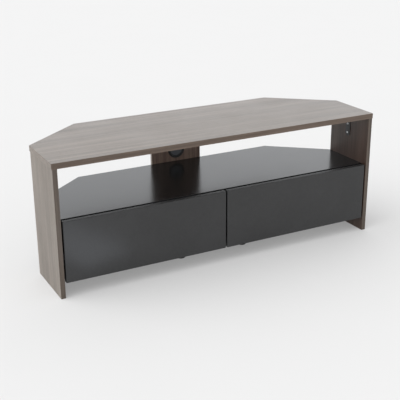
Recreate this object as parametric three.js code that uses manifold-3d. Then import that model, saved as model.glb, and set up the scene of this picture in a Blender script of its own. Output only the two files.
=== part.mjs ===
// Corner media cabinet: a six-sided top on two side panels and a rear spine, a black
// shelf below it, and two handle-less drawers under the shelf.
//
// Units are millimetres. +Z is up, +X runs to the right of a person facing the drawers,
// and +Y runs away from them. The origin is on the floor, under the middle of the cabinet.

import * as THREE from 'three';
import { mergeVertices } from 'three/addons/utils/BufferGeometryUtils.js';
import Module from 'manifold-3d';

// ---- Overall sizes ----
const width = 1150;
const depth = 378;
const height = 430;
const rearWidth = 740;              // rear edge of the top
const sideDepth = 209;              // straight side edges of the top, and the side panels

// ---- Carcass boards ----
const topThickness = 18;
const topOverhang = 2;              // top past the outer face of each side panel
const sideThickness = 15;
const shelfThickness = 15;
const baseThickness = 15;
const dividerThickness = 15;
const spineThickness = 12;
const spineWidth = 190;
const shelfHeight = 247;            // floor to the upper face of the shelf
const backPanelThickness = 3;
const backPanelInset = 5;           // back panels in from the edges of the shelf and base
const slipGap = 0.3;                // where slanted ends meet, and round pieces in their holes

// ---- Drawer fronts ----
const frontThickness = 16;
const frontLift = 49;               // floor to the lower edge of the fronts
const frontBelowBase = 6;           // fronts hang this far below the base
const centreGap = 5;                // between the two fronts
const sideGap = 5;                  // between a front and its side panel
const fingerGap = 9;                // between the back of a front and the edge of the shelf
const baseGap = 2;                  // between the back of a front and the edge of the base

// ---- Drawer boxes ----
const boxThickness = 12;
const boxLift = 10;                 // base to the lower edge of a box
const boxTopClearance = 20;         // upper edge of a box to the shelf
const boxRearClearance = 8;         // back of a box in from the rear edge of the side panels
const bottomThickness = 4;
const bottomLift = 8;               // lower edge of a box to its bottom panel
const grooveDepth = 6;
const grooveGap = 0.25;
const frontScrewInset = 90;         // from the inside of a box to a front's fixing screws
const frontScrewBite = 10;          // length of that screw inside the front

// ---- Drawer runners ----
const runnerSpace = 12.5;           // between a box and the board its runner is fixed to
const runnerHeight = 35;
const runnerRise = 40;              // lower edge of a box to the middle of its runners
const runnerFrontClearance = 2;     // back of a front to the runners
const runnerRearClearance = 8;      // back of a box to the rear end of the runners
const channelSheet = 1.25;          // thickness of the folded steel
const channelGap = 0.5;             // between one channel and the next one inside it
const channelEndGap = 2.5;          // between a channel's edges and the plate across from them

// ---- Top brackets and their screws ----
const bracketWidth = 24;
const bracketThickness = 2;
const bracketFromFront = 110;       // front of the top to the middle of a bracket
const bracketFirstHole = 42;        // corner of a bracket to its first hole
const bracketHolePitch = 32;
const bracketHoleRadius = 2.5;
const screwHeadRadius = 4;
const screwHeadHeight = 2.5;
const screwShankRadius = 2;
const screwBackWall = 3;            // board left behind the tip of a screw
const recessLength = 4.5;
const recessWidth = 1;
const recessDepth = 1.25;
const screwTipLength = 2;
const screwShoulder = [1, 0.4];     // shares of the head's radius and height where it curves in
const screwCrown = [0.85, 0.8];
const screwFlat = 0.5;              // share of the head's radius that is flat on top

// ---- Feet ----
const footRadius = 16;
const footNeckRadius = 13;
const footFlangeRadius = 20;
const footFlangeThickness = 3;
const footEdge = 1.5;               // chamfer where a foot meets the floor
const footPadHeight = 8;
const footSpread = 118;             // middle of the cabinet to the middle of a foot
const footFromFront = 104;

// ---- Cable grommet ----
const grommetHoleRadius = 30;
const grommetAboveShelf = 43;
const flangeLip = 2;                // flange past the edge of the hole
const flangeThickness = 2.5;
const flangeChamfer = 1.5;
const sleeveWall = 2.7;
const ledgeDepth = 2;               // face of the spine to the ledge the cap sits on
const ledgeWidth = 2;
const ledgeThickness = 2;
const capRecess = 0.75;             // rim of the cap in from the face of the flange
const capRimWidth = 3;
const capDish = 1;                  // floor of the cap's dish in from its rim
const capBossRadius = 6;            // low round boss in the middle of the dish
const capBossHeight = 0.75;
const hubRadius = 3.5;              // hub on the back of the cap that the shutter turns on
const hubHeadRadius = 6;
const hubHeadThickness = 1.25;
const notchWidth = 14;
const notchReach = 14;              // axis of the cap to the middle of the notch's round end

// ---- How round the round pieces are ----
const screwSegments = 20;
const footSegments = 32;
const grommetSegments = 48;
const archSegments = 16;

// ---- Places worked out from the sizes above ----
const front = -depth / 2;
const rear = depth / 2;
const sideRear = front + sideDepth;
const topUnderside = height - topThickness;
const sideOuter = width / 2 - topOverhang;
const sideInner = sideOuter - sideThickness;
const shelfRear = rear - spineThickness;
const shelfUnderside = shelfHeight - shelfThickness;
const frontBack = front + frontThickness;
const shelfFront = frontBack + fingerGap;
const baseFront = frontBack + baseGap;
const baseUnderside = frontLift + frontBelowBase;
const baseTop = baseUnderside + baseThickness;
const boxBottom = baseTop + boxLift;
const boxTop = shelfUnderside - boxTopClearance;
const boxRear = sideRear - boxRearClearance;
const bottomUnderside = boxBottom + bottomLift;
const boxInner = dividerThickness / 2 + runnerSpace;
const boxOuter = sideInner - runnerSpace;
const runnerFront = frontBack + runnerFrontClearance;
const runnerLength = boxRear - runnerRearClearance - runnerFront;
const runnerMiddle = boxBottom + runnerRise;
const bracketMiddle = front + bracketFromFront;
const sideScrewLength = bracketThickness + sideThickness - screwBackWall;
const frontScrewLength = boxThickness + frontScrewBite;
const grommetHeight = shelfHeight + grommetAboveShelf;

// ---- Materials ----
const walnut = new THREE.MeshStandardMaterial({ color: 0x5a473d, roughness: 0.45 });
const blackBoard = new THREE.MeshStandardMaterial({ color: 0x1b1b1c, roughness: 0.3 });
const blackFront = new THREE.MeshStandardMaterial({ color: 0x202022, roughness: 0.25 });
const drawerBoard = new THREE.MeshStandardMaterial({ color: 0x2b2b2d, roughness: 0.55 });
const hardboard = new THREE.MeshStandardMaterial({ color: 0x222120, roughness: 0.7 });
const blackPlastic = new THREE.MeshStandardMaterial({ color: 0x151515, roughness: 0.5 });
const darkSteel = new THREE.MeshStandardMaterial({ color: 0x3a3a3c, roughness: 0.45, metalness: 1 });
const zincSteel = new THREE.MeshStandardMaterial({ color: 0xb4b6b8, roughness: 0.35, metalness: 1 });

const wasm = await Module();
wasm.setup();
const cabinet = new THREE.Group();

// ---- Solids: joining and cutting ----

function triangleIsReal(a, b, c) {
  return a !== b && b !== c && c !== a;
}

function toSolid(geometry) {
  const plain = geometry.clone();
  plain.deleteAttribute('normal');
  plain.deleteAttribute('uv');
  const merged = mergeVertices(plain);
  const corners = merged.index.array;
  const kept = [];
  for (let i = 0; i < corners.length; i += 3) {
    const [a, b, c] = [corners[i], corners[i + 1], corners[i + 2]];
    if (triangleIsReal(a, b, c)) kept.push(a, b, c);
  }
  return new wasm.Manifold(new wasm.Mesh({
    numProp: 3,
    vertProperties: new Float32Array(merged.attributes.position.array),
    triVerts: new Uint32Array(kept),
  }));
}

function toGeometry(solid) {
  const mesh = solid.getMesh();
  const geometry = new THREE.BufferGeometry();
  geometry.setAttribute('position', new THREE.BufferAttribute(mesh.vertProperties, 3));
  geometry.setIndex(new THREE.BufferAttribute(mesh.triVerts, 1));
  geometry.computeVertexNormals();
  return geometry;
}

function cut(geometry, tools) {
  let solid = toSolid(geometry);
  for (const tool of tools) solid = solid.subtract(toSolid(tool));
  return toGeometry(solid);
}

function join(first, second) {
  return toGeometry(toSolid(first).add(toSolid(second)));
}

// ---- Simple shapes, each made where it stands ----

function boxBetween(low, high) {
  const size = high.map((value, axis) => value - low[axis]);
  const middle = high.map((value, axis) => (value + low[axis]) / 2);
  const geometry = new THREE.BoxGeometry(...size);
  return geometry.translate(...middle);
}

// A box given for the right-hand side, or its mirror image on the left.
function sidedBox(side, [x0, x1], [y0, y1], [z0, z1]) {
  const left = Math.min(side * x0, side * x1);
  const right = Math.max(side * x0, side * x1);
  return boxBetween([left, y0, z0], [right, y1, z1]);
}

// A flat board with the given plan outline, between two heights.
function plate(outline, bottom, top) {
  const shape = new THREE.Shape(outline.map(([x, y]) => new THREE.Vector2(x, y)));
  const geometry = new THREE.ExtrudeGeometry(shape, { depth: top - bottom, bevelEnabled: false });
  return geometry.translate(0, 0, bottom);
}

// A round piece about the Y axis, from a profile of [radius, y] pairs.
function turned(profile, segments) {
  const points = profile.map(([radius, y]) => new THREE.Vector2(radius, y));
  return new THREE.LatheGeometry(points, segments);
}

function rod(radius, length, segments) {
  return new THREE.CylinderGeometry(radius, radius, length, segments);
}

function add(name, geometry, material) {
  const mesh = new THREE.Mesh(geometry, material);
  mesh.name = name;
  cabinet.add(mesh);
  return mesh;
}

const sides = [
  { label: 'left', side: -1 },
  { label: 'right', side: 1 },
];

// ---- Screws ----

// A pan-head screw. Its head sits on the plane y = 0 and its shank points to -Y.
function screwGeometry(length) {
  const curve = [screwShoulder, screwCrown, [screwFlat, 1]];
  const body = turned([
    [0, -length],
    [screwShankRadius, screwTipLength - length],
    [screwShankRadius, 0],
    [screwHeadRadius, 0],
    ...curve.map(([out, up]) => [out * screwHeadRadius, up * screwHeadHeight]),
    [0, screwHeadHeight],
  ], screwSegments);
  const recessFloor = screwHeadHeight - recessDepth;
  const recessTop = screwHeadHeight + recessDepth;
  const along = boxBetween(
    [-recessLength / 2, recessFloor, -recessWidth / 2],
    [recessLength / 2, recessTop, recessWidth / 2],
  );
  const across = along.clone().rotateY(Math.PI / 2);
  return cut(body, [along, across]);
}

// The hole that a screw's shank needs, in the same place as the screw.
function pilotHole(length) {
  const radius = screwShankRadius + slipGap;
  return rod(radius, length + slipGap, screwSegments).translate(0, -(length + slipGap) / 2, 0);
}

// Turns a screw from pointing to -Y so that it points outwards, into a side panel.
function turnIntoSide(side) {
  return side * Math.PI / 2;
}

function sideScrewPlaces(side) {
  const x = side * (sideInner - bracketThickness);
  return [0, 1].map((index) => {
    const drop = bracketFirstHole + index * bracketHolePitch;
    return new THREE.Vector3(x, bracketMiddle, topUnderside - drop);
  });
}

function topScrewPlaces(side) {
  const z = topUnderside - bracketThickness;
  return [0, 1].map((index) => {
    const reach = bracketFirstHole + index * bracketHolePitch;
    return new THREE.Vector3(side * (sideInner - reach), bracketMiddle, z);
  });
}

function sideHoles(side) {
  return sideScrewPlaces(side).map((place) => {
    const hole = pilotHole(sideScrewLength).rotateZ(turnIntoSide(side));
    return hole.translate(...place.toArray());
  });
}

function topHoles(side) {
  return topScrewPlaces(side).map((place) => {
    const hole = pilotHole(sideScrewLength).rotateX(-Math.PI / 2);
    return hole.translate(...place.toArray());
  });
}

function addBracketScrews(label, side) {
  const geometry = screwGeometry(sideScrewLength);
  sideScrewPlaces(side).forEach((place, index) => {
    const screw = add(`${label}_bracket_side_screw_${index + 1}`, geometry, zincSteel);
    screw.position.copy(place);
    screw.rotation.z = turnIntoSide(side);
  });
  topScrewPlaces(side).forEach((place, index) => {
    const screw = add(`${label}_bracket_top_screw_${index + 1}`, geometry, zincSteel);
    screw.position.copy(place);
    screw.rotation.x = -Math.PI / 2;
  });
}

// ---- Top, sides, shelf and base ----

// Six-sided plan: a straight front, short straight sides, slanted rear corners.
function sixSides(halfWidth, frontEdge, halfRear, rearEdge) {
  return [
    [-halfWidth, frontEdge],
    [halfWidth, frontEdge],
    [halfWidth, sideRear],
    [halfRear, rearEdge],
    [-halfRear, rearEdge],
    [-halfWidth, sideRear],
  ];
}

function addTop() {
  const outline = sixSides(width / 2, front, rearWidth / 2, rear);
  const board = plate(outline, topUnderside, height);
  add('top_panel', cut(board, [...topHoles(-1), ...topHoles(1)]), walnut);
}

function addSidePanel(label, side) {
  const board = sidedBox(side, [sideInner, sideOuter], [front, sideRear], [0, topUnderside]);
  add(`${label}_side_panel`, cut(board, sideHoles(side)), walnut);
}

function addShelfAndBase() {
  const shelfOutline = sixSides(sideInner, shelfFront, rearWidth / 2, shelfRear);
  const baseOutline = sixSides(sideInner, baseFront, rearWidth / 2, shelfRear);
  add('equipment_shelf', plate(shelfOutline, shelfUnderside, shelfHeight), blackBoard);
  add('base_panel', plate(baseOutline, baseUnderside, baseTop), blackBoard);
}

function addDivider() {
  const back = shelfRear - backPanelInset - backPanelThickness;
  const half = dividerThickness / 2;
  add('centre_divider', boxBetween([-half, shelfFront, baseTop], [half, back, shelfUnderside]), blackBoard);
}

// ---- Back panels, let in between the base and the shelf ----

// The slanted edge of the shelf on the right, and a copy of it moved inwards.
function slantedEdge() {
  const start = new THREE.Vector2(sideInner, sideRear);
  const end = new THREE.Vector2(rearWidth / 2, shelfRear);
  const along = end.clone().sub(start).normalize();
  const inwards = new THREE.Vector2(-along.y, along.x);
  return { start, along, inwards };
}

// Where the edge, moved in by `inset`, reaches the side panel and the rear panel.
function insetEdge(inset) {
  const { start, along, inwards } = slantedEdge();
  const moved = start.clone().addScaledVector(inwards, inset);
  const toSide = (sideInner - slipGap - moved.x) / along.x;
  const toRear = (shelfRear - inset - moved.y) / along.y;
  const atSide = moved.clone().addScaledVector(along, toSide);
  const corner = moved.clone().addScaledVector(along, toRear);
  const atRear = corner.clone().addScaledVector(along, -slipGap);
  return { atSide, corner, atRear };
}

function addBackPanels() {
  const outer = insetEdge(backPanelInset);
  const inner = insetEdge(backPanelInset + backPanelThickness);
  const rearOutline = [
    [-inner.corner.x, inner.corner.y],
    [inner.corner.x, inner.corner.y],
    [outer.corner.x, outer.corner.y],
    [-outer.corner.x, outer.corner.y],
  ];
  add('rear_back_panel', plate(rearOutline, baseTop, shelfUnderside), hardboard);
  for (const { label, side } of sides) {
    const points = [inner.atSide, outer.atSide, outer.atRear, inner.atRear];
    const outline = points.map(({ x, y }) => [side * x, y]);
    add(`${label}_back_panel`, plate(outline, baseTop, shelfUnderside), hardboard);
  }
}

// ---- Rear spine and its cable grommet ----

function addSpine() {
  const half = spineWidth / 2;
  const board = boxBetween([-half, shelfRear, 0], [half, rear, topUnderside]);
  const throughBoard = 3 * spineThickness;
  const hole = rod(grommetHoleRadius, throughBoard, grommetSegments);
  hole.translate(0, shelfRear, grommetHeight);
  add('cable_spine', cut(board, [hole]), walnut);
}

const sleeveOuter = grommetHoleRadius - slipGap;
const sleeveInner = sleeveOuter - sleeveWall;
const flangeRadius = grommetHoleRadius + flangeLip;

function addGrommetSleeve() {
  const ledgeInner = sleeveInner - ledgeWidth;
  const ledgeBack = ledgeDepth + ledgeThickness;
  const sleeve = turned([
    [sleeveInner, -flangeThickness],
    [flangeRadius - flangeChamfer, -flangeThickness],
    [flangeRadius, flangeChamfer - flangeThickness],
    [flangeRadius, 0],
    [sleeveOuter, 0],
    [sleeveOuter, spineThickness],
    [sleeveInner, spineThickness],
    [sleeveInner, ledgeBack],
    [ledgeInner, ledgeBack],
    [ledgeInner, ledgeDepth],
    [sleeveInner, ledgeDepth],
    [sleeveInner, -flangeThickness],
  ], grommetSegments);
  const mesh = add('grommet_sleeve', sleeve, blackPlastic);
  mesh.position.set(0, shelfRear, grommetHeight);
}

// A slot with a round end that runs out past the edge of a disc: up for +1, down for -1.
function notchTools(direction) {
  const far = 2 * sleeveInner;
  const ends = [direction * notchReach, direction * far];
  const slot = boxBetween(
    [-notchWidth / 2, -far, Math.min(...ends)],
    [notchWidth / 2, far, Math.max(...ends)],
  );
  const round = rod(notchWidth / 2, 2 * far, archSegments).translate(0, 0, direction * notchReach);
  return [slot, round];
}

// The cap is a dished disc with a cable notch at its upper edge and a hub on its back.
function addGrommetCap() {
  const radius = sleeveInner - slipGap;
  const rimFace = capRecess - flangeThickness;
  const dishFace = rimFace + capDish;
  const back = ledgeDepth - slipGap;
  const hubHead = ledgeDepth + ledgeThickness + slipGap;
  const cap = turned([
    [0, dishFace - capBossHeight],
    [capBossRadius - capBossHeight, dishFace - capBossHeight],
    [capBossRadius, dishFace],
    [radius - capRimWidth - capDish, dishFace],
    [radius - capRimWidth, rimFace],
    [radius, rimFace],
    [radius, back],
    [hubRadius, back],
    [hubRadius, hubHead],
    [hubHeadRadius, hubHead],
    [hubHeadRadius, hubHead + hubHeadThickness],
    [0, hubHead + hubHeadThickness],
  ], grommetSegments);
  const mesh = add('grommet_cap', cut(cap, notchTools(1)), blackPlastic);
  mesh.position.set(0, shelfRear, grommetHeight);
}

// The shutter is a flat disc that turns on the hub. Its own notch starts at the bottom, so
// it closes the cap's notch until it has made half a turn.
function addGrommetShutter() {
  const radius = sleeveInner - ledgeWidth - slipGap;
  const bore = hubRadius + slipGap;
  const shutter = turned([
    [bore, ledgeDepth],
    [radius, ledgeDepth],
    [radius, ledgeDepth + ledgeThickness],
    [bore, ledgeDepth + ledgeThickness],
    [bore, ledgeDepth],
  ], grommetSegments);
  const mesh = add('grommet_shutter', cut(shutter, notchTools(-1)), blackPlastic);
  mesh.position.set(0, shelfRear, grommetHeight);
}

// ---- Steel brackets under the top ----

// One leg of a bracket: a strip with a round end and two holes, lying along +X.
function bracketLeg() {
  const half = bracketWidth / 2;
  const reach = bracketFirstHole + bracketHolePitch;
  const shape = new THREE.Shape();
  shape.moveTo(0, -half);
  shape.lineTo(reach, -half);
  shape.absarc(reach, 0, half, -Math.PI / 2, Math.PI / 2, false);
  shape.lineTo(0, half);
  shape.closePath();
  for (const x of [bracketFirstHole, reach]) {
    const hole = new THREE.Path();
    hole.absarc(x, 0, bracketHoleRadius, 0, 2 * Math.PI, true);
    shape.holes.push(hole);
  }
  const options = { depth: bracketThickness, bevelEnabled: false, curveSegments: archSegments };
  return new THREE.ExtrudeGeometry(shape, options);
}

// The left bracket has its corner at the origin: one leg runs to +X under the top,
// the other one runs down the side panel. The right bracket is its mirror image.
function addBracket(label, side) {
  const under = bracketLeg().translate(0, 0, -bracketThickness);
  const down = bracketLeg().rotateY(Math.PI / 2);
  const geometry = join(under, down);
  if (side > 0) geometry.rotateZ(Math.PI);
  const mesh = add(`${label}_top_bracket`, geometry, darkSteel);
  mesh.position.set(side * sideInner, bracketMiddle, topUnderside);
}

// ---- Front feet ----

function addFoot(label, side) {
  const foot = turned([
    [0, 0],
    [footRadius - footEdge, 0],
    [footRadius, footEdge],
    [footRadius, footPadHeight],
    [footNeckRadius, footPadHeight + footEdge],
    [footNeckRadius, baseUnderside - footFlangeThickness],
    [footFlangeRadius, baseUnderside - footFlangeThickness],
    [footFlangeRadius, baseUnderside],
    [0, baseUnderside],
  ], footSegments);
  const mesh = add(`${label}_foot`, foot.rotateX(Math.PI / 2), blackPlastic);
  mesh.position.set(side * footSpread, front + footFromFront, 0);
}

// ---- Drawers ----

function bottomPanel(side, grow) {
  const overlap = boxThickness - grooveDepth - grow;
  return sidedBox(
    side,
    [boxInner + overlap, boxOuter - overlap],
    [frontBack + overlap, boxRear - overlap],
    [bottomUnderside - grow, bottomUnderside + bottomThickness + grow],
  );
}

function frontScrewPlaces(side) {
  const first = boxInner + boxThickness + frontScrewInset;
  const last = boxOuter - boxThickness - frontScrewInset;
  const z = (boxBottom + boxTop) / 2;
  return [first, last].map((x) => new THREE.Vector3(side * x, frontBack + boxThickness, z));
}

function frontScrewHoles(side) {
  return frontScrewPlaces(side).map((place) => (
    pilotHole(frontScrewLength).translate(...place.toArray())
  ));
}

function addDrawerFront(label, side) {
  const board = sidedBox(
    side,
    [centreGap / 2, sideInner - sideGap],
    [front, frontBack],
    [frontLift, shelfHeight],
  );
  add(`${label}_drawer_front`, cut(board, frontScrewHoles(side)), blackFront);
}

function addDrawerBox(label, side) {
  const heights = [boxBottom, boxTop];
  const lengths = [frontBack, boxRear];
  const between = [boxInner + boxThickness, boxOuter - boxThickness];
  const groove = bottomPanel(side, grooveGap);
  const innerSide = sidedBox(side, [boxInner, boxInner + boxThickness], lengths, heights);
  const outerSide = sidedBox(side, [boxOuter - boxThickness, boxOuter], lengths, heights);
  const boxFront = sidedBox(side, between, [frontBack, frontBack + boxThickness], heights);
  const boxBack = sidedBox(side, between, [boxRear - boxThickness, boxRear], heights);
  add(`${label}_drawer_inner_side`, cut(innerSide, [groove]), drawerBoard);
  add(`${label}_drawer_outer_side`, cut(outerSide, [groove]), drawerBoard);
  add(`${label}_drawer_box_front`, cut(boxFront, [groove, ...frontScrewHoles(side)]), drawerBoard);
  add(`${label}_drawer_back`, cut(boxBack, [groove]), drawerBoard);
  add(`${label}_drawer_bottom`, bottomPanel(side, 0), hardboard);
}

function addFrontScrews(label, side) {
  const geometry = screwGeometry(frontScrewLength);
  frontScrewPlaces(side).forEach((place, index) => {
    const screw = add(`${label}_front_screw_${index + 1}`, geometry, zincSteel);
    screw.position.copy(place);
  });
}

// ---- Runners: three channels, one inside the other ----

// A channel section, with distances taken from the board that carries the runner. `half` is
// half its height, `plateAt` is where its plate starts, and its lips run from `lipFrom` to `lipTo`.
function channel({ half, plateAt, lipFrom, lipTo }) {
  const inside = half - channelSheet;
  const plateEnd = plateAt + channelSheet;
  return [
    [lipFrom, -half],
    [lipTo, -half],
    [lipTo, -inside],
    [plateEnd, -inside],
    [plateEnd, inside],
    [lipTo, inside],
    [lipTo, half],
    [lipFrom, half],
    [lipFrom, inside],
    [plateAt, inside],
    [plateAt, -inside],
    [lipFrom, -inside],
  ].filter(([x, y], index, all) => {
    const [lastX, lastY] = all[(index + all.length - 1) % all.length];
    return x !== lastX || y !== lastY;
  });
}

const cabinetHalf = runnerHeight / 2;
const slideHalf = cabinetHalf - channelSheet - channelGap;
const drawerHalf = slideHalf - channelSheet - channelGap;

const runnerChannels = [
  {
    name: 'cabinet_rail',
    section: channel({
      half: cabinetHalf,
      plateAt: 0,
      lipFrom: 0,
      lipTo: runnerSpace - channelEndGap,
    }),
  },
  {
    name: 'middle_rail',
    section: channel({
      half: slideHalf,
      plateAt: (runnerSpace - channelSheet) / 2,
      lipFrom: channelEndGap,
      lipTo: runnerSpace - channelEndGap,
    }),
  },
  {
    name: 'drawer_rail',
    section: channel({
      half: drawerHalf,
      plateAt: runnerSpace - channelSheet,
      lipFrom: runnerSpace / 2 + channelEndGap,
      lipTo: runnerSpace,
    }),
  },
];

// A runner starts on the plane x = carrier and grows towards `inwards`, which is +1 or -1.
function addRunner(prefix, carrier, inwards) {
  for (const { name, section } of runnerChannels) {
    const points = section.map(([x, z]) => new THREE.Vector2(inwards * x, z));
    const shape = new THREE.Shape(points);
    const options = { depth: runnerLength, bevelEnabled: false };
    const geometry = new THREE.ExtrudeGeometry(shape, options).rotateX(Math.PI / 2);
    const mesh = add(`${prefix}_${name}`, geometry, zincSteel);
    mesh.position.set(carrier, runnerFront + runnerLength, runnerMiddle);
  }
}

function addDrawer(label, side) {
  addDrawerFront(label, side);
  addDrawerBox(label, side);
  addFrontScrews(label, side);
  addRunner(`${label}_inner`, side * dividerThickness / 2, side);
  addRunner(`${label}_outer`, side * sideInner, -side);
}

// ---- The whole cabinet ----

addTop();
addShelfAndBase();
addDivider();
addBackPanels();
addSpine();
addGrommetSleeve();
addGrommetCap();
addGrommetShutter();
for (const { label, side } of sides) {
  addSidePanel(label, side);
  addBracket(label, side);
  addBracketScrews(label, side);
  addFoot(label, side);
  addDrawer(label, side);
}

export default cabinet;
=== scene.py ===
# Looks for the corner media cabinet: materials, softened edges, studio, light and camera.
# Units are metres, in the same frame as the CAD model: +X right, +Y to the wall, +Z up.

import math

import bpy
from mathutils import Matrix, Vector


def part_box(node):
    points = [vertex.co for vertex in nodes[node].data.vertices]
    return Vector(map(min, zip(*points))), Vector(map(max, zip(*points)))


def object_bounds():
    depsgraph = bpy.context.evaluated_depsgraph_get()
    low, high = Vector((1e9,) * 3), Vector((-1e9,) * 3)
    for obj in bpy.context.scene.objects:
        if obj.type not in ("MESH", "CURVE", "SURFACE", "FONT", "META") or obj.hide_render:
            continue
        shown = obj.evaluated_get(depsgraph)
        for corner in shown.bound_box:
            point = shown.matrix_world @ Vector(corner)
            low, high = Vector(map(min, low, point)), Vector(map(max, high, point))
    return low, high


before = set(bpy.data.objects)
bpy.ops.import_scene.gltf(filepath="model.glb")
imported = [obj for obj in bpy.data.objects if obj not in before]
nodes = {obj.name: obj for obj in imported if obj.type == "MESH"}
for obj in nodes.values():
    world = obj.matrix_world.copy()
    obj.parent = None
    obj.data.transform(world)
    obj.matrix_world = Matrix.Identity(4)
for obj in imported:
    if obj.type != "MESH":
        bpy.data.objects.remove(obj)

cad_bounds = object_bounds()

MM = 0.001
X, Y, Z = 0, 1, 2

# ---- Camera ----
CAMERA_PLACE = Vector((-1.263, -2.407, 1.177))
CAMERA_FORWARD = Vector((0.43524, 0.82860, -0.35211))
CAMERA_ROLL = math.radians(-0.42)
CAMERA_LENS = 76.1
CAMERA_SENSOR = 36.0
CAMERA_REACH = 200.0            # nothing farther than this is drawn

# ---- Studio ----
FLOOR_SIZE = 60.0
FLOOR_GLOW = 0.25               # light of the floor itself, which weakens the shadow
FLOOR_TONE = (0.462, 0.456, 0.448)
FLOOR_DARKEST = 0.99            # of the floor's tone
FLOOR_LIGHTEST = 1.01
FLOOR_ROUGHNESS = 0.9
SKY_BASE = (0.64, 0.655, 0.68)
# Soft bright regions of the sky: direction, full-strength angle, outer angle, colour.
SKY_LOBES = [
    ((-0.82, 0.10, 0.52), 20, 56, (2.35, 2.37, 2.38)),
    ((0.62, 0.74, 0.28), 18, 56, (0.74, 0.75, 0.76)),
    ((0.0, 0.0, 1.0), 20, 65, (0.20, 0.20, 0.20)),
    ((0.10, -0.98, 0.14), 10, 40, (0.60, 0.585, 0.56)),
]

# A low card of light in front of the left drawer, facing up.
CARD_PLACE = (-0.41, -0.60, 0.006)
CARD_SIZE = (0.20, 0.46)
CARD_TURN = math.radians(-19)
CARD_POWER = 0.33
CARD_COLOUR = (0.84, 0.90, 1.0)

# ---- Rounded edges ----
FOIL_EDGE = 0.5 * MM
METAL_EDGE = 0.18 * MM
PLASTIC_EDGE = 0.35 * MM
HARDBOARD_EDGE = 0.2 * MM
FRONT_EDGE = 1.5 * MM
EDGE_STEPS = 3
EDGE_ANGLE = math.radians(32)   # edges that turn by more than this are rounded
WELD_DISTANCE = 0.005 * MM

# ---- Faces with a look of their own, found by their place; the faces towards the bay carry painted shade and painted light ----
BAND_THICKNESS = 0.4 * MM
BAND_BACK = cad_bounds[0][1] + BAND_THICKNESS
# The side panels' inner faces lie within this of the middle along X; they get painted shade.
SIDE_BAY_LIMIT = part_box("right_side_panel")[0][0] + BAND_THICKNESS
# The spine's front face lies within this of the middle along Y; it gets painted light.
SPINE_BAY_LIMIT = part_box("cable_spine")[0][1] + BAND_THICKNESS
STRIP_HEIGHT = 0.3 * MM
FRONT_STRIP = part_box("left_drawer_front")[1][2] - STRIP_HEIGHT
STRIP_DULLNESS = 0.20           # more roughness on the strip than on the front's face
CAP_LOW, CAP_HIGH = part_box("grommet_cap")
CAP_RADIUS = (CAP_HIGH[0] - CAP_LOW[0]) / 2
CAP_MIDDLE = ((CAP_LOW[0] + CAP_HIGH[0]) / 2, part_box("cable_spine")[0][1],
              CAP_LOW[2] + CAP_RADIUS)
CAP_DISH = 22.8 * MM

# ---- Walnut foil: the scale of each part of the grain along it and across it ----
GRAIN_BANDS = (0.9, 14)
GRAIN_STREAKS = (2.2, 150)
GRAIN_FIBRES = (14, 900)
GRAIN_FIGURE = (0.55, 7)
GRAIN_PORES = (55, 2300)
# How much the first four add to the tone.
BAND_SHARE = 0.30
STREAK_SHARE = 0.42
FIGURE_SHARE = 0.05
FIBRE_SHARE = 0.23
PORE_SPAN = (0.56, 0.70)        # noise values over which a pore fades in
PORE_TINT = (0.35, 0.28, 0.24, 1)
PORE_DEPTH = 0.45
PORE_DULLNESS = 0.12
SIDE_GLOSS = (0.36, 0.44)
TOP_GLOSS = (0.28, 0.34)
# Foil tones from the darkest grain line to the lightest, at their places on the ramp.
CALM_WALNUT = [(0.36, (0.072, 0.056, 0.042)), (0.46, (0.108, 0.085, 0.066)),
               (0.54, (0.144, 0.115, 0.091)), (0.66, (0.196, 0.160, 0.130))]
PLAIN_WALNUT = [(0.34, (0.076, 0.062, 0.051)), (0.46, (0.124, 0.103, 0.085)),
                (0.54, (0.160, 0.135, 0.112)), (0.68, (0.222, 0.188, 0.158))]
# Painted light: a lighter, warmer copy of the side foil for the spine's front face, standing in
# for light that reaches into the bay.
LIT_SPINE_WALNUT = [(0.34, (0.078, 0.046, 0.032)), (0.46, (0.150, 0.097, 0.074)),
               (0.54, (0.203, 0.139, 0.108)), (0.68, (0.275, 0.198, 0.160))]
# Painted shade: a darker copy of the side foil for the side panels' inner faces, which lie in
# the shade of the bay.
SHADED_BAY_WALNUT = [(0.34, (0.023, 0.010, 0.006)), (0.46, (0.046, 0.025, 0.017)),
               (0.54, (0.064, 0.038, 0.027)), (0.68, (0.098, 0.063, 0.049))]
DARK_BAND = (0.61, 0.55, 0.50, 1)
WARM_BAND = (0.93, 0.82, 0.76, 1)

# ---- Other materials ----
DRAWER_TONES = [(0.25, (0.014, 0.014, 0.015)), (0.6, (0.034, 0.034, 0.036))]
HARDBOARD_TONES = [(0.3, (0.010, 0.010, 0.010)), (0.7, (0.032, 0.031, 0.030))]
ZINC_DARK = (0.40, 0.41, 0.42)
ZINC_LIGHT = (0.62, 0.63, 0.64)
SPANGLE_SHARE = 0.12
SCREW_SHINE = 1.45
DUST_BRIGHTNESS = 0.012
DISH_TONE = 0.10
NOISE_SPAN = (0.3, 0.7)         # most values of a noise lie between these


# ---------------------------------------------------------------- node helpers

def put(tree, socket, value):
    """Links a socket to another one, or sets its plain value."""
    if isinstance(value, bpy.types.NodeSocket):
        tree.links.new(value, socket)
    else:
        socket.default_value = value


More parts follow.
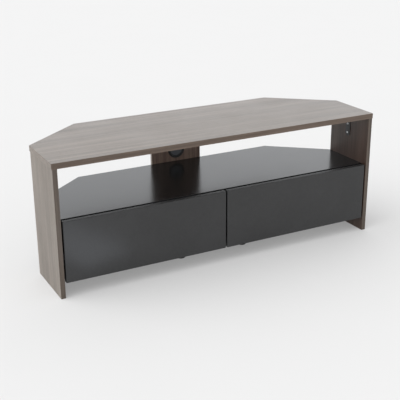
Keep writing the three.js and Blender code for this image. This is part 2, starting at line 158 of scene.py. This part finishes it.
class Tree:
    """A short way to write a material's nodes."""

    def __init__(self, name):
        self.material = bpy.data.materials.new(name)
        self.material.use_nodes = True
        self.tree = self.material.node_tree
        self.shader = self.tree.nodes["Principled BSDF"]
        self.place = self.node("ShaderNodeTexCoord").outputs["Object"]

    def node(self, kind, settings=None, **inputs):
        made = self.tree.nodes.new(kind)
        for key, value in (settings or {}).items():
            setattr(made, key, value)
        for key, value in inputs.items():
            self.put(made.inputs[key.replace("_", " ")], value)
        return made

    def put(self, socket, value):
        put(self.tree, socket, value)

    def coordinate(self, axis):
        """The place along X, Y or Z."""
        return self.node("ShaderNodeSeparateXYZ", Vector=self.place).outputs["XYZ"[axis]]

    def stretched(self, scale, shift=(0, 0, 0)):
        made = self.node("ShaderNodeMapping", Vector=self.place, Scale=scale, Location=shift)
        return made.outputs["Vector"]

    def grain(self, axis, scales, shift=(0, 0, 0)):
        """The place, stretched by one scale along an axis and by another across it."""
        along, across = scales
        scale = tuple(along if index == axis else across for index in range(3))
        return self.stretched(scale, shift)

    def noise(self, vector, scale, detail, roughness, distortion=0.0):
        made = self.node("ShaderNodeTexNoise", Vector=vector, Scale=scale, Detail=detail,
                         Roughness=roughness, Distortion=distortion)
        return made.outputs["Fac"]

    def ramp(self, value, stops):
        made = self.node("ShaderNodeValToRGB", Fac=value)
        points = made.color_ramp.elements
        while len(points) < len(stops):
            points.new(0.5)
        for point, (place, colour) in zip(points, stops):
            point.position = place
            point.color = (*colour, 1)
        return made.outputs["Color"]

    def maths(self, operation, first, second):
        made = self.node("ShaderNodeMath", {"operation": operation})
        self.put(made.inputs[0], first)
        self.put(made.inputs[1], second)
        return made.outputs["Value"]

    def vector_maths(self, operation, first, second):
        made = self.node("ShaderNodeVectorMath", {"operation": operation})
        self.put(made.inputs[0], first)
        self.put(made.inputs[1], second)
        return made

    def mixed(self, shares):
        """The sum of several values, each times its share."""
        total = 0.0
        for value, share in shares:
            total = self.maths("ADD", total, self.maths("MULTIPLY", value, share))
        return total

    def blend(self, mode, amount, first, second):
        made = self.node("ShaderNodeMix", {"data_type": "RGBA", "blend_type": mode})
        self.put(made.inputs["Factor"], amount)
        self.put(made.inputs["A"], first)
        self.put(made.inputs["B"], second)
        return made.outputs["Result"]

    def range(self, value, low, high, source=(0.0, 1.0)):
        """The value, moved from the span `source` to the span from `low` to `high`."""
        made = self.node("ShaderNodeMapRange", Value=value)
        made.inputs["From Min"].default_value = source[0]
        made.inputs["From Max"].default_value = source[1]
        made.inputs["To Min"].default_value = low
        made.inputs["To Max"].default_value = high
        return made.outputs["Result"]

    def bump(self, height, distance, strength):
        made = self.node("ShaderNodeBump", Height=height, Strength=strength, Distance=distance)
        return made.outputs["Normal"]

    def finish(self, **inputs):
        for key, value in inputs.items():
            self.put(self.shader.inputs[key.replace("_", " ")], value)
        return self.material


def tinted(tone, red, green, blue):
    """A tone times a factor for each channel."""
    return (red * tone, green * tone, blue * tone, 1)


# ---------------------------------------------------------------- materials

def walnut_foil(name, axis, shift, stops, gloss_range=SIDE_GLOSS, band=None, bay_painted_light=None):
    """Walnut foil with straight grain along an axis.

    `band` tints the banding on the front edge. The bay argument is (axis, limit, stops): where
    the distance from the middle along that axis is under the limit, the face towards the open
    bay takes the given stops, which are painted light and shade: a darker copy on the side
    panels' inner faces, a lighter one on the spine's front.
    """
    t = Tree(name)
    bands = t.noise(t.grain(axis, GRAIN_BANDS, shift), 1.0, 4, 0.55, distortion=0.6)
    streaks = t.noise(t.grain(axis, GRAIN_STREAKS, shift), 1.0, 5, 0.6, distortion=0.3)
    fibres = t.noise(t.grain(axis, GRAIN_FIBRES, shift), 1.0, 4, 0.65)
    figure = t.node("ShaderNodeTexWave", {"wave_type": "RINGS", "rings_direction": "SPHERICAL"},
                    Vector=t.grain(axis, GRAIN_FIGURE, shift), Scale=2.3, Distortion=5.5,
                    Detail=3.0, Detail_Scale=1.2, Detail_Roughness=0.6).outputs["Fac"]
    pores = t.noise(t.grain(axis, GRAIN_PORES, shift), 1.0, 2, 0.5)
    pore_mask = t.range(pores, 0.0, 1.0, source=PORE_SPAN)

    tone = t.mixed([(bands, BAND_SHARE), (streaks, STREAK_SHARE), (figure, FIGURE_SHARE),
                    (fibres, FIBRE_SHARE)])
    colour = t.ramp(tone, stops)
    # Painted light and shade: the face towards the bay takes darker tones on the side panels and
    # lighter ones on the spine.
    if bay_painted_light is not None:
        face_axis, limit, painted_light_stops = bay_painted_light
        reach = t.maths("ABSOLUTE", t.coordinate(face_axis), 0.0)
        on_painted_light_face = t.maths("LESS_THAN", reach, limit)
        colour = t.blend("MIX", on_painted_light_face, colour, t.ramp(tone, painted_light_stops))
    colour = t.blend("MULTIPLY", t.maths("MULTIPLY", pore_mask, PORE_DEPTH), colour, PORE_TINT)
    if band is not None:
        on_band = t.maths("LESS_THAN", t.coordinate(Y), BAND_BACK)
        colour = t.blend("MULTIPLY", on_band, colour, band)
    smudge = t.noise(t.place, 5.0, 3, 0.6)
    gloss = t.range(smudge, *gloss_range, source=NOISE_SPAN)
    gloss = t.maths("ADD", gloss, t.maths("MULTIPLY", pore_mask, PORE_DULLNESS))
    height = t.maths("SUBTRACT", t.maths("MULTIPLY", fibres, 0.5), pore_mask)
    normal = t.bump(height, distance=0.06 * MM, strength=0.5)
    return t.finish(Base_Color=colour, Roughness=gloss, Normal=normal)


def black_foil(name, tone, rough, shift, dull_above=None):
    """Black satin foil: a very fine pearl texture and slight cloudiness in the gloss.

    Higher up than `dull_above` the foil is an edge strip with a duller finish.
    """
    t = Tree(name)
    cloud = t.noise(t.stretched((1, 1, 1), shift), 6.0, 4, 0.55)
    pearl = t.noise(t.place, 1500.0, 2, 0.5)
    dust = t.noise(t.place, 420.0, 3, 0.7)
    colour = t.blend("MIX", t.range(cloud, 0.0, 1.0, source=NOISE_SPAN),
                     tinted(tone, 0.82, 0.83, 0.85), tinted(tone, 1.12, 1.13, 1.16))
    specks = t.range(dust, 0.0, DUST_BRIGHTNESS, source=(0.66, 0.8))
    colour = t.blend("ADD", specks, colour, (1, 1, 1, 1))
    gloss = t.maths("ADD", t.range(cloud, rough - 0.02, rough + 0.03, source=NOISE_SPAN),
                    t.range(pearl, 0.0, 0.03, source=(0.4, 0.7)))
    if dull_above is not None:
        on_strip = t.maths("GREATER_THAN", t.coordinate(Z), dull_above)
        gloss = t.maths("ADD", gloss, t.maths("MULTIPLY", on_strip, STRIP_DULLNESS))
    normal = t.bump(pearl, distance=0.012 * MM, strength=0.4)
    return t.finish(Base_Color=colour, Roughness=gloss, Normal=normal)


def drawer_foil(name):
    """Dark grey drawer board with a linen-like emboss."""
    t = Tree(name)
    weave = t.maths("MULTIPLY",
                    t.noise(t.stretched((80, 1600, 1600)), 1.0, 2, 0.5),
                    t.noise(t.stretched((1600, 80, 80)), 1.0, 2, 0.5))
    cloud = t.noise(t.place, 9.0, 3, 0.5)
    colour = t.ramp(t.mixed([(weave, 0.9), (cloud, 0.3)]), DRAWER_TONES)
    return t.finish(Base_Color=colour, Roughness=t.range(cloud, 0.42, 0.52),
                    Normal=t.bump(weave, distance=0.05 * MM, strength=0.5))


def hardboard(name):
    """Thin painted hardboard with a slightly woolly face."""
    t = Tree(name)
    wool = t.noise(t.place, 260.0, 6, 0.75, distortion=0.5)
    cloud = t.noise(t.place, 7.0, 3, 0.5)
    colour = t.ramp(t.mixed([(wool, 0.7), (cloud, 0.3)]), HARDBOARD_TONES)
    return t.finish(Base_Color=colour, Roughness=t.range(wool, 0.5, 0.75),
                    Normal=t.bump(wool, distance=0.08 * MM, strength=0.6))


def dish_mask(t, middle, radius):
    """1 within `radius` of the line along Y through `middle`, in front of its Y, and else 0."""
    flat = t.vector_maths("MULTIPLY", t.place, (1, 0, 1)).outputs["Vector"]
    reach = t.vector_maths("DISTANCE", flat, (middle[X], 0, middle[Z])).outputs["Value"]
    return t.maths("MULTIPLY", t.maths("LESS_THAN", reach, radius),
                   t.maths("LESS_THAN", t.coordinate(Y), middle[Y]))


def moulded_plastic(name, tone, rough, dish=None):
    """Moulded plastic with a fine spark-eroded grain.

    `dish` is (middle, radius, tone): a round area about a line along Y with a tone of its
    own. It ends at the middle's Y, so the back of the piece keeps the plain tone.
    """
    t = Tree(name)
    grain = t.noise(t.place, 1800.0, 3, 0.6)
    cloud = t.noise(t.place, 30.0, 3, 0.5)
    colour = t.blend("MIX", cloud, tinted(tone, 0.8, 0.8, 0.84), tinted(tone, 1.25, 1.25, 1.3))
    if dish is not None:
        middle, radius, dish_tone = dish
        paint = t.blend("MIX", cloud, tinted(dish_tone, 0.85, 0.92, 1.04),
                        tinted(dish_tone, 1.1, 1.18, 1.32))
        colour = t.blend("MIX", dish_mask(t, middle, radius), colour, paint)
    return t.finish(Base_Color=colour, Roughness=t.range(grain, rough - 0.06, rough + 0.08),
                    Normal=t.bump(grain, distance=0.03 * MM, strength=0.5))


def powder_coat(name, tone):
    """Dark powder-coated steel with orange peel and a slightly cloudy tone."""
    t = Tree(name)
    peel = t.noise(t.place, 900.0, 3, 0.55)
    cloud = t.noise(t.place, 60.0, 4, 0.6)
    colour = t.blend("MIX", cloud, tinted(tone, 0.7, 0.7, 0.72), tinted(tone, 1.3, 1.3, 1.33))
    return t.finish(Base_Color=colour, Metallic=0.35, Roughness=t.range(peel, 0.34, 0.5),
                    Normal=t.bump(peel, distance=0.03 * MM, strength=0.6))


def zinc_plate(name, axis, shine=1.0):
    """Bright zinc-plated steel with fine rolling lines along one axis."""
    t = Tree(name)
    lines = t.noise(t.grain(axis, (20, 2600)), 1.0, 3, 0.6)
    spangle = t.node("ShaderNodeTexVoronoi", Vector=t.place, Scale=420.0).outputs["Color"]
    cloud = t.noise(t.place, 90.0, 4, 0.6)
    colour = t.ramp(t.mixed([(lines, 0.5), (cloud, 0.5)]), [
        (0.3, tuple(value * shine for value in ZINC_DARK)),
        (0.7, tuple(value * shine for value in ZINC_LIGHT)),
    ])
    colour = t.blend("SOFT_LIGHT", SPANGLE_SHARE, colour, spangle)
    return t.finish(Base_Color=colour, Metallic=1.0, Roughness=t.range(cloud, 0.26, 0.42),
                    Normal=t.bump(lines, distance=0.015 * MM, strength=0.5))


materials = {
    "top": walnut_foil("walnut_top", X, (0.0, 0.0, 0.0), CALM_WALNUT, TOP_GLOSS,
                       band=WARM_BAND),
    # The side panels' inner faces towards the bay get painted shade.
    "left": walnut_foil("walnut_left_side", Z, (0.31, 0.12, 0.4), PLAIN_WALNUT,
                        band=DARK_BAND, bay_painted_light=(X, SIDE_BAY_LIMIT, SHADED_BAY_WALNUT)),
    "right": walnut_foil("walnut_right_side", Z, (1.7, 0.55, 0.9), PLAIN_WALNUT,
                         band=DARK_BAND, bay_painted_light=(X, SIDE_BAY_LIMIT, SHADED_BAY_WALNUT)),
    # The spine's front face towards the bay gets painted light.
    "spine": walnut_foil("walnut_spine", Z, (2.9, 0.2, 1.3), PLAIN_WALNUT,
                         bay_painted_light=(Y, SPINE_BAY_LIMIT, LIT_SPINE_WALNUT)),
    "shelf": black_foil("black_satin_shelf", 0.011, 0.20, (0, 0, 0)),
    "board": black_foil("black_satin_board", 0.014, 0.24, (0.4, 0.3, 0.2)),
    "left_front": black_foil("black_satin_left_front", 0.023, 0.26, (0.7, 0.1, 0.5),
                             dull_above=FRONT_STRIP),
    "right_front": black_foil("black_satin_right_front", 0.023, 0.26, (1.9, 0.8, 0.3),
                              dull_above=FRONT_STRIP),
    "drawer": drawer_foil("grey_drawer_board"),
    "hardboard": hardboard("black_hardboard"),
    "grommet": moulded_plastic("grommet_plastic", 0.014, 0.32),
    "cap": moulded_plastic("grommet_cap_plastic", 0.018, 0.40,
                           dish=(CAP_MIDDLE, CAP_DISH, DISH_TONE)),
    "shutter": moulded_plastic("grommet_shutter_plastic", 0.018, 0.44),
    "foot": moulded_plastic("foot_plastic", 0.012, 0.45),
    "bracket": powder_coat("bracket_powder_coat", 0.05),
    "rail": zinc_plate("zinc_plate_rail", Y),
    "screw": zinc_plate("zinc_plate_screw", X, SCREW_SHINE),
}

# The key of each node's material: by its whole name, or else by the first of the listed
# words that the name contains.
KEY_BY_NAME = {
    "top_panel": "top",
    "left_side_panel": "left",
    "right_side_panel": "right",
    "cable_spine": "spine",
    "equipment_shelf": "shelf",
    "base_panel": "board",
    "centre_divider": "board",
    "grommet_sleeve": "grommet",
    "grommet_cap": "cap",
    "grommet_shutter": "shutter",
    "left_drawer_front": "left_front",
    "right_drawer_front": "right_front",
}
KEY_BY_WORD = (
    ("screw", "screw"),
    ("rail", "rail"),
    ("bracket", "bracket"),
    ("foot", "foot"),
    ("back_panel", "hardboard"),
    ("drawer_bottom", "hardboard"),
    ("drawer", "drawer"),
)

# By material key: the width of the rounded edges, and the pieces with curved faces.
EDGES = {
    "screw": METAL_EDGE,
    "rail": METAL_EDGE,
    "bracket": METAL_EDGE,
    "foot": PLASTIC_EDGE,
    "grommet": PLASTIC_EDGE,
    "cap": PLASTIC_EDGE,
    "shutter": PLASTIC_EDGE,
    "hardboard": HARDBOARD_EDGE,
    "left_front": FRONT_EDGE,
    "right_front": FRONT_EDGE,
}
ROUND = ("screw", "foot", "grommet", "cap", "shutter", "bracket")


# ---------------------------------------------------------------- pieces

def material_key(name):
    if name in KEY_BY_NAME:
        return KEY_BY_NAME[name]
    for word, key in KEY_BY_WORD:
        if word in name:
            return key
    raise ValueError(name)


def soften(piece, size, is_round):
    """Rounds a CAD node's sharp edges by modifiers, so that they catch the light."""
    weld = piece.modifiers.new("weld", "WELD")
    weld.merge_threshold = WELD_DISTANCE
    bevel = piece.modifiers.new("edges", "BEVEL")
    bevel.width = size
    bevel.segments = EDGE_STEPS
    bevel.limit_method = "ANGLE"
    bevel.angle_limit = EDGE_ANGLE
    bevel.harden_normals = is_round
    bevel.use_clamp_overlap = True


def dress_nodes():
    """Gives every CAD node its material, its shading and its rounded edges."""
    for name, piece in nodes.items():
        key = material_key(name)
        is_round = key in ROUND
        piece.data.materials.clear()
        piece.data.materials.append(materials[key])
        if "custom_normal" in piece.data.attributes:
            piece.data.attributes.remove(piece.data.attributes["custom_normal"])
        for face in piece.data.polygons:
            face.use_smooth = is_round
        soften(piece, EDGES.get(key, FOIL_EDGE), is_round)


# ---------------------------------------------------------------- studio

def add_floor():
    """A wide pale sheet under the cabinet."""
    mesh = bpy.data.meshes.new("studio_floor")
    half = FLOOR_SIZE / 2
    corners = [(-half, -half, 0), (half, -half, 0), (half, half, 0), (-half, half, 0)]
    mesh.from_pydata(corners, [], [(0, 1, 2, 3)])
    floor = bpy.data.objects.new("studio_floor", mesh)
    bpy.context.scene.collection.objects.link(floor)
    t = Tree("studio_paper")
    tooth = t.noise(t.place, 3.0, 3, 0.5)
    darker = tuple(FLOOR_DARKEST * value for value in FLOOR_TONE)
    lighter = tuple(FLOOR_LIGHTEST * value for value in FLOOR_TONE)
    colour = t.blend("MIX", tooth, (*darker, 1), (*lighter, 1))
    mesh.materials.append(t.finish(
        Base_Color=colour, Roughness=FLOOR_ROUGHNESS, Specular_IOR_Level=0.0,
        Emission_Color=(1, 1, 1, 1), Emission_Strength=FLOOR_GLOW,
    ))


def with_lobe(tree, direction, sky, lobe):
    """The sky so far, plus one soft bright region."""
    axis, inner, outer, colour = lobe
    dot = tree.nodes.new("ShaderNodeVectorMath")
    dot.operation = "DOT_PRODUCT"
    put(tree, dot.inputs[0], direction)
    put(tree, dot.inputs[1], Vector(axis).normalized())
    fade = tree.nodes.new("ShaderNodeMapRange")
    fade.interpolation_type = "SMOOTHSTEP"
    put(tree, fade.inputs["Value"], dot.outputs["Value"])
    put(tree, fade.inputs["From Min"], math.cos(math.radians(outer)))
    put(tree, fade.inputs["From Max"], math.cos(math.radians(inner)))
    tint = tree.nodes.new("ShaderNodeVectorMath")
    tint.operation = "MULTIPLY_ADD"
    put(tree, tint.inputs[0], fade.outputs["Result"])
    put(tree, tint.inputs[1], colour)
    put(tree, tint.inputs[2], sky)
    return tint.outputs["Vector"]


def add_world():
    """A pale sky with bright regions to the left, behind on the right, overhead and in front."""
    world = bpy.data.worlds.new("studio_air")
    bpy.context.scene.world = world
    world.use_nodes = True
    tree = world.node_tree
    direction = tree.nodes.new("ShaderNodeTexCoord").outputs["Generated"]
    sky = SKY_BASE
    for lobe in SKY_LOBES:
        sky = with_lobe(tree, direction, sky, lobe)
    put(tree, tree.nodes["Background"].inputs["Color"], sky)


def add_card():
    """A low light card in front of the left drawer, seen only as a soft reflection."""
    light = bpy.data.lights.new("low_card", "AREA")
    light.shape = "RECTANGLE"
    light.size, light.size_y = CARD_SIZE
    light.energy = CARD_POWER
    light.color = CARD_COLOUR
    holder = bpy.data.objects.new("low_card", light)
    bpy.context.scene.collection.objects.link(holder)
    holder.location = CARD_PLACE
    holder.rotation_euler = (math.pi, 0, CARD_TURN)
    holder.visible_camera = False
    holder.visible_diffuse = False


def add_camera():
    """The photograph's view."""
    camera = bpy.data.cameras.new("camera")
    camera.lens = CAMERA_LENS
    camera.sensor_width = CAMERA_SENSOR
    camera.clip_end = CAMERA_REACH
    holder = bpy.data.objects.new("camera", camera)
    bpy.context.scene.collection.objects.link(holder)
    aim = CAMERA_FORWARD.to_track_quat("-Z", "Y").to_matrix()
    roll = Matrix.Rotation(CAMERA_ROLL, 3, "Z")
    holder.matrix_world = Matrix.Translation(CAMERA_PLACE) @ (aim @ roll).to_4x4()
    bpy.context.scene.camera = holder


dress_nodes()
add_floor()
add_world()
add_card()
add_camera()
bpy.context.scene.view_settings.view_transform = "Standard"
